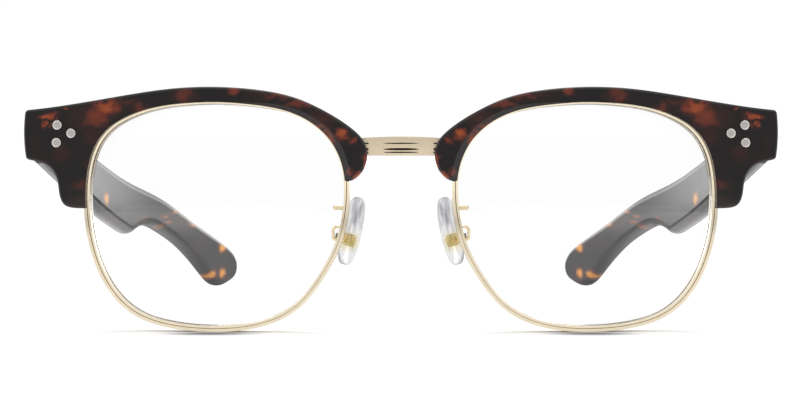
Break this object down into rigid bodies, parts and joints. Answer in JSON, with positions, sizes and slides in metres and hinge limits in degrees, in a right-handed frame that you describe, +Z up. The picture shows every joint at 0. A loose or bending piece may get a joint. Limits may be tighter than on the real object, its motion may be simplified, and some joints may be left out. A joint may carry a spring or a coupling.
{
  "type": "half rim eyeglasses",
  "caption": "Browline eyeglasses with tortoise acetate brows and temples, a gold-tone grooved metal rim round each clear lens, a reeded bridge and rocking nose pads.",
  "frame": {"origin": "on the table under the middle of the whole frame: X = 0 is the plane of symmetry, Y = 0 is half way from the front to the temple tips, Z = 0 is the table under the rims and the tips", "axes": "+Z up, +X towards the wearer's left temple, -Y the way the wearer faces"},
  "size_m": [0.1468, 0.1484, 0.0471],
  "materials": {
    "brow_acetate": "polished dark tortoise",
    "temple_acetate": "polished dark tortoise",
    "clear_lens": "clear, polished",
    "clear_pad": "clear, soft",
    "gold_metal": "pale gold plate, satin",
    "rivet_metal": "polished flush",
    "hinge_metal": "pale gold plate",
    "core_metal": "bright",
    "screw_metal": "bright"
  },
  "bodies": {
    "front": {"bridge": "gold_metal", "left_brow": "brow_acetate", "left_brow_screw": "screw_metal", "left_closing_block_lower": "gold_metal", "left_closing_block_upper": "gold_metal", "left_closing_screw": "screw_metal", "left_end_lug": "gold_metal", "left_end_screw": "screw_metal", "left_eyewire": "gold_metal", "left_front_rivet_1": "rivet_metal", "left_front_rivet_2": "rivet_metal", "left_front_rivet_3": "rivet_metal", "left_hinge_front": "hinge_metal", "left_hinge_screw": "screw_metal", "left_lens": "clear_lens", "left_pad_arm": "gold_metal", "left_pad_box": "gold_metal", "left_pad_screw": "screw_metal", "right_brow": "brow_acetate", "right_brow_screw": "screw_metal", "right_closing_block_lower": "gold_metal", "right_closing_block_upper": "gold_metal", "right_closing_screw": "screw_metal", "right_end_lug": "gold_metal", "right_end_screw": "screw_metal", "right_eyewire": "gold_metal", "right_front_rivet_1": "rivet_metal", "right_front_rivet_2": "rivet_metal", "right_front_rivet_3": "rivet_metal", "right_hinge_front": "hinge_metal", "right_hinge_screw": "screw_metal", "right_lens": "clear_lens", "right_pad_arm": "gold_metal", "right_pad_box": "gold_metal", "right_pad_screw": "screw_metal"},
    "left_temple_body": {"left_core_wire": "core_metal", "left_hinge_temple": "hinge_metal", "left_temple": "temple_acetate", "left_temple_rivet_1": "rivet_metal", "left_temple_rivet_2": "rivet_metal", "left_temple_rivet_3": "rivet_metal"},
    "right_temple_body": {"right_core_wire": "core_metal", "right_hinge_temple": "hinge_metal", "right_temple": "temple_acetate", "right_temple_rivet_1": "rivet_metal", "right_temple_rivet_2": "rivet_metal", "right_temple_rivet_3": "rivet_metal"},
    "left_pad_body": {"left_nose_pad": "clear_pad", "left_pad_insert": "gold_metal"},
    "right_pad_body": {"right_nose_pad": "clear_pad", "right_pad_insert": "gold_metal"}
  },
  "joints": [
    {"name": "left_temple_fold", "type": "hinge", "parent": "front", "child": "left_temple_body", "pos_m": [0.0673, -0.0629, 0.038], "axis": [0, 0, 1], "range_deg": [0, 81]},
    {"name": "right_temple_fold", "type": "hinge", "parent": "front", "child": "right_temple_body", "pos_m": [-0.0673, -0.0629, 0.038], "axis": [0, 0, -1], "range_deg": [0, 71]},
    {"name": "left_pad_rock", "type": "hinge", "parent": "front", "child": "left_pad_body", "pos_m": [0.01186, -0.06509, 0.01786], "axis": [0.3657, 0.9272, 0.0811], "range_deg": [-10, 10]},
    {"name": "right_pad_rock", "type": "hinge", "parent": "front", "child": "right_pad_body", "pos_m": [-0.01186, -0.06509, 0.01786], "axis": [0.3657, -0.9272, -0.0811], "range_deg": [-10, 10]}
  ]
}
